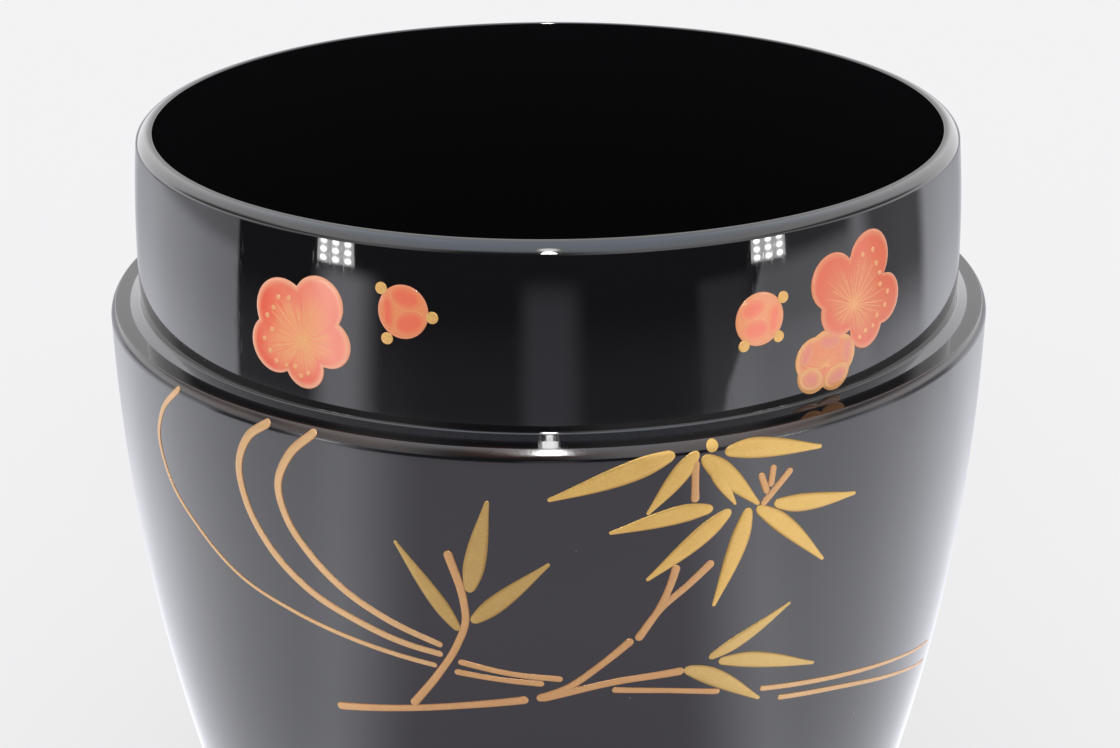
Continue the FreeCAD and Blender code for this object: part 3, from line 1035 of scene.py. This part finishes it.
def buildFloor():
    # a level square, far larger than the object; the lacquer mirrors a bright sheet round the caddy,
    # brighter at the sides, that ends at a dark opening in front
    material, tree, sockets = newMaterial("floorPaper")
    x, y = splitXYZ(tree, ownPlace(tree))[:2]
    reach = lengthOf(tree, x, y)
    bearing = bearingOf(tree, x, y)
    turned = calc(tree, "ABSOLUTE", bearing)
    # brighter at the sides, with painted shadow of the caddy close to its foot and behind it
    bright = times(tree, stepped(tree, turned, studio["front"], studio["round"]),
                   stepped(tree, reach, studio["foot"], studio["out"]))
    for *span, near, far, gain in studio["dimmer"]:
        loss = ease(tree, reach, near, far, gain)
        bright = calc(tree, "MULTIPLY_ADD", between(tree, bearing, *span), loss, bright)

    edges = []
    for slope, start in studio["openings"]:
        line = calc(tree, "MULTIPLY_ADD", x, slope, start)
        edges.append(calc(tree, "SUBTRACT", y, line))
    opening = ease(tree, calc(tree, "MAXIMUM", *edges), *studio["openEdge"], 0.0, 1.0)
    beyond = studio["dark"]
    for *span, strength, fades, ended in studio["bands"]:
        light = ease(tree, reach, fades, ended, 0.0, strength)
        beyond = calc(tree, "MULTIPLY_ADD", between(tree, bearing, *span), light, beyond)
    aside = calc(tree, "SUBTRACT", 1.0, between(tree, bearing, *studio["ahead"]))
    beyond = calc(tree, "MULTIPLY_ADD", aside, ease(tree, reach, *studio["aside"]), beyond)
    gone = times(tree, opening, stepped(tree, reach, 0.0, studio["fall"]))
    mirrored = lerp(tree, gone, bright, beyond)

    seen, mirror = lightPaths(tree)
    even = studio["backgroundShare"]
    keep = calc(tree, "SUBTRACT", calc(tree, "MULTIPLY_ADD", seen, -even, 1.0), mirror)
    glow = times(tree, seen, even * studio["background"])
    side = ease(tree, turned, *studio["round"][0][:2])
    tint = blendColour(tree, side, studio["frontTint"], studio["sideTint"])
    feed(tree, sockets, {
        "Base Color": blendColour(tree, keep, (0.0, 0.0, 0.0), studio["floorColour"]),
        "Emission Color": blendColour(tree, seen, tint, studio["backgroundTint"]),
        "Emission Strength": calc(tree, "MULTIPLY_ADD", mirror, mirrored, glow),
        "Roughness": 0.9, "Specular IOR Level": 0.0})
    square = np.array([[-1, -1, 0], [1, -1, 0], [1, 1, 0], [-1, 1, 0]]) * studio["floorReach"]
    floor = meshPiece("studio_floor", square, [[0, 1, 2, 3]], np.zeros((4, 3)), material)


def buildWorld():
    # even white light; mirrored, it is dark straight ahead and bright at the sides, behind and overhead,
    # where it is bluish in the middle and falls off to the back; it is dim above the side walls
    world = bpy.data.worlds.new("studio")
    bpy.context.scene.world = world
    world.use_nodes = True
    tree = world.node_tree
    x, y, z = splitXYZ(tree, added(tree, "TexCoord")["Generated"])
    bearing = bearingOf(tree, x, y)
    over = bearingOf(tree, z, y)  # 0 in front, 90 overhead
    sideways = times(tree, calc(tree, "ABSOLUTE", calc(tree, "ARCSINE", x)), 180 / math.pi)
    left, right = studio["walls"]
    walls = ease(tree, bearing, *studio["wallsMeet"], right, left)
    mirrored = lerp(tree, between(tree, bearing, *studio["ahead"]), walls, studio["aheadDark"])
    mirrored = lerp(tree, ease(tree, over, *studio["ceilingFrom"]), mirrored, studio["ceiling"])
    behind, down = studio["back"]
    loss = times(tree, ease(tree, calc(tree, "ABSOLUTE", bearing), *behind), ease(tree, over, *down))
    mirrored = times(tree, mirrored, calc(tree, "SUBTRACT", 1.0, loss))
    outwards, upwards = studio["aboveFrom"]
    corner = times(tree, ease(tree, sideways, *outwards), ease(tree, z, *upwards))
    mirrored = lerp(tree, corner, mirrored, studio["above"])
    outwards, upwards = studio["tinted"]
    middle = times(tree, ease(tree, sideways, *outwards, 0.0, 1.0), between(tree, over, *upwards))
    seen, mirror = lightPaths(tree)
    strength = lerp(tree, seen, 1.0, studio["background"])
    cool = times(tree, middle, mirror)
    feed(tree, tree.nodes["Background"].inputs, {
        "Color": blendColour(tree, cool, studio["lightTint"], studio["ceilingTint"]),
        "Strength": lerp(tree, mirror, strength, mirrored)})


# Lamps: corners as (bearing, elevation) from a place on the vessel, and how far off in mm; only the
# lacquer mirrors them

sideLamp = {"cells": (3, 3), "spot": 45.0, "panel": 5.5, "edge": (0.17, 0.33), "distance": 215.0}
lamps = {
    "lamp_left": {
        **sideLamp, "seen": (-13.0, -27.1, 57.2),
        "corners": [(-63.2, -11.2), (-51.6, -11.1), (-51.6, -8.35), (-62.8, -8.5)]},
    "lamp_right": {
        **sideLamp, "seen": (13.5, -26.9, 57.2),
        "corners": [(53.9, -11.1), (64.9, -11.2), (64.4, -8.5), (53.6, -8.35)]},
    "lamp_middle": {
        "cells": (1, 1), "spot": 11.0, "panel": 2.0, "edge": (0.15, 0.5), "distance": 450.0,
        "seen": (0.0, -29.9, 58.6), "corners": [(-4.5, 54), (4.5, 54), (23.6, 84), (-23.6, 84)]},
    "lamp_high": {
        "cells": (1, 1), "spot": 110.0, "panel": 40.0, "edge": (0.6, 0.72), "distance": 430.0,
        "seen": (0.0, -31.5, 46.0), "corners": [(-2.3, 24.5), (2.3, 24.5), (1.2, 60), (-1.2, 60)]},
}


def lampMaterial(name, lamp):
    # bright round spots, one in each cell of the panel's own coordinates
    material, tree = newMaterial(name)[:2]
    shares = [calc(tree, "FRACT", share) for share in ownPaint(tree)[:2]]
    off = lengthOf(tree, *(calc(tree, "SUBTRACT", share, 0.5) for share in shares))
    strength = ease(tree, off, *lamp["edge"], lamp["panel"], lamp["spot"])
    glow = added(tree, "Emission", {"Strength": strength})[0]
    feed(tree, tree.nodes["Material Output"].inputs, {"Surface": glow})
    return material


def buildLamps():
    # each panel has its corners on a plane that is square to the line from that place to its middle
    for name, lamp in lamps.items():
        turn, rise = np.radians(lamp["corners"]).T
        ways = np.stack([np.sin(turn) * np.cos(rise), -np.cos(turn) * np.cos(rise), np.sin(rise)], 1)
        middle = ways.mean(0) / np.linalg.norm(ways.mean(0))
        xyz = np.array(lamp["seen"]) + ways / (ways @ middle)[:, None] * lamp["distance"]
        cells = np.array([[0, 0], [1, 0], [1, 1], [0, 1]]) * lamp["cells"]
        tags = np.column_stack([cells, np.zeros(4)])
        panel = meshPiece(name, xyz * mm, [[0, 1, 2, 3]], tags, lampMaterial(name, lamp))
        panel.visible_camera = False
        panel.visible_diffuse = False
        panel.visible_shadow = False


camera = {
    "place": (0.0, -166.11, 104.997),  # mm
    "pitch": 21.982,  # degrees down
    "yaw": 0.2848,
    "roll": -0.1907,
    "lens": 74.025,
    "sensor": 36.0,
    "clip": (0.005, 20),  # m
}


def buildCamera():
    # looks along yaw and pitch, with a little roll
    yaw, pitch, roll = (math.radians(camera[k]) for k in ("yaw", "pitch", "roll"))
    ahead = np.array([math.sin(yaw) * math.cos(pitch), math.cos(yaw) * math.cos(pitch), -math.sin(pitch)])
    level = np.array([math.cos(yaw), -math.sin(yaw), 0])
    above = np.cross(level, ahead)
    right = math.cos(roll) * level + math.sin(roll) * above
    up = -math.sin(roll) * level + math.cos(roll) * above
    data = bpy.data.cameras.new("photoCamera")
    data.lens = camera["lens"]
    data.sensor_width = camera["sensor"]
    data.sensor_fit = "HORIZONTAL"
    data.clip_start, data.clip_end = camera["clip"]
    eye = bpy.data.objects.new("photoCamera", data)
    bpy.context.scene.collection.objects.link(eye)
    turn = np.eye(4)
    turn[:3, 0], turn[:3, 1], turn[:3, 2] = right, up, -ahead
    turn[:3, 3] = np.array(camera["place"]) * mm
    eye.matrix_world = Matrix(turn.tolist())
    bpy.context.scene.camera = eye


buildFloor()
buildWorld()
buildLamps()
buildCamera()
bpy.context.scene.view_settings.view_transform = "Standard"
print("studio and camera set")
